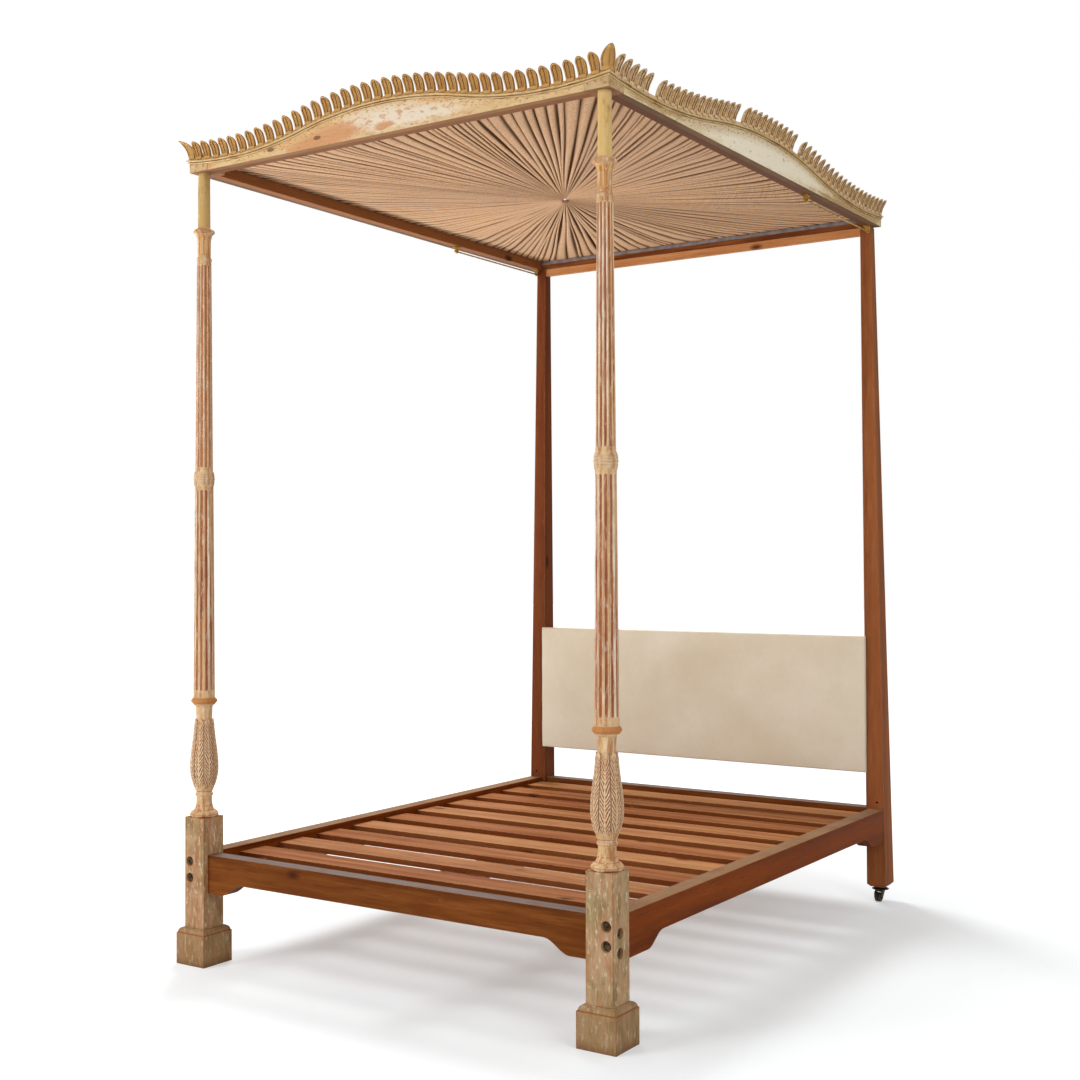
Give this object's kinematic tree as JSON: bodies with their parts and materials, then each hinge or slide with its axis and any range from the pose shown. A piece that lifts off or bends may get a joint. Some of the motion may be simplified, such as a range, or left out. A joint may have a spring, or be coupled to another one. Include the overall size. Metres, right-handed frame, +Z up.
{
  "type": "four-poster bed",
  "caption": "Tall four-poster bed with turned and carved foot posts, plain head posts, slatted base, serpentine leaf-crested cornice and pleated canopy.",
  "frame": {"origin": "floor point under the middle of the bed's whole outline", "axes": "+X to the right seen from the foot, +Y towards the head, +Z up"},
  "size_m": [1.626, 2.08, 2.681],
  "materials": {
    "cream_paint": "worn cream paint over turned wood",
    "fascia_paint": "chalky off-white paint worn to bare wood",
    "ochre_paint": "aged ochre paint",
    "mahogany": "waxed red-brown mahogany",
    "slat_pine": "reddish stained pine",
    "pine": "plain softwood",
    "tester_wood": "brown stained wood",
    "calico": "unbleached calico",
    "canopy_fabric": "pleated taupe-pink cloth",
    "iron": "dark iron",
    "castor_metal": "dark bronzed iron",
    "brass": "aged brass"
  },
  "bodies": {
    "bed": {"foot_post_left": "cream_paint", "plinth_left": "cream_paint", "head_post_left": "mahogany", "foot_post_right": "cream_paint", "plinth_right": "cream_paint", "head_post_right": "mahogany", "foot_rail": "mahogany", "head_rail": "mahogany", "side_rail_left": "mahogany", "ledger_left": "pine", "side_rail_right": "mahogany", "ledger_right": "pine", "centre_bearer": "pine", "slat_01": "slat_pine", "slat_02": "slat_pine", "slat_03": "slat_pine", "slat_04": "slat_pine", "slat_05": "slat_pine", "slat_06": "slat_pine", "slat_07": "slat_pine", "slat_08": "slat_pine", "slat_09": "slat_pine", "slat_10": "slat_pine", "foot_bolts": "iron", "head_bolts": "iron", "headboard_pad": "calico", "headboard_back": "pine", "fascia_foot": "fascia_paint", "moulding_foot": "ochre_paint", "leaves_foot": "ochre_paint", "tester_rail_foot": "tester_wood", "fascia_left": "fascia_paint", "moulding_left": "ochre_paint", "leaves_left": "ochre_paint", "tester_rail_left": "tester_wood", "fascia_right": "fascia_paint", "moulding_right": "ochre_paint", "leaves_right": "ochre_paint", "tester_rail_right": "tester_wood", "corner_leaf_left": "ochre_paint", "corner_block_left": "fascia_paint", "corner_leaf_right": "ochre_paint", "corner_block_right": "fascia_paint", "tester_head_board": "tester_wood", "head_lath": "pine", "tester_pins": "iron", "canopy_cloth": "canopy_fabric", "canopy_button": "canopy_fabric", "curtain_rod_left": "brass", "curtain_rod_right": "brass", "curtain_brackets": "brass", "castor_plate_left": "castor_metal", "castor_plate_right": "castor_metal"},
    "swivel_left": {"castor_fork_left": "castor_metal", "castor_axle_left": "castor_metal"},
    "wheel_left": {"castor_wheel_left": "castor_metal"},
    "swivel_right": {"castor_fork_right": "castor_metal", "castor_axle_right": "castor_metal"},
    "wheel_right": {"castor_wheel_right": "castor_metal"}
  },
  "joints": [
    {"name": "castor_swivel_left", "type": "hinge", "parent": "bed", "child": "swivel_left", "pos_m": [-0.7595, 0.998, 0.039], "axis": [0, 0, 1], "continuous": true},
    {"name": "castor_roll_left", "type": "hinge", "parent": "swivel_left", "child": "wheel_left", "pos_m": [-0.7595, 0.98, 0.017], "axis": [1, 0, 0], "continuous": true},
    {"name": "castor_swivel_right", "type": "hinge", "parent": "bed", "child": "swivel_right", "pos_m": [0.7595, 0.998, 0.039], "axis": [0, 0, 1], "continuous": true},
    {"name": "castor_roll_right", "type": "hinge", "parent": "swivel_right", "child": "wheel_right", "pos_m": [0.7595, 0.98, 0.017], "axis": [1, 0, 0], "continuous": true}
  ]
}
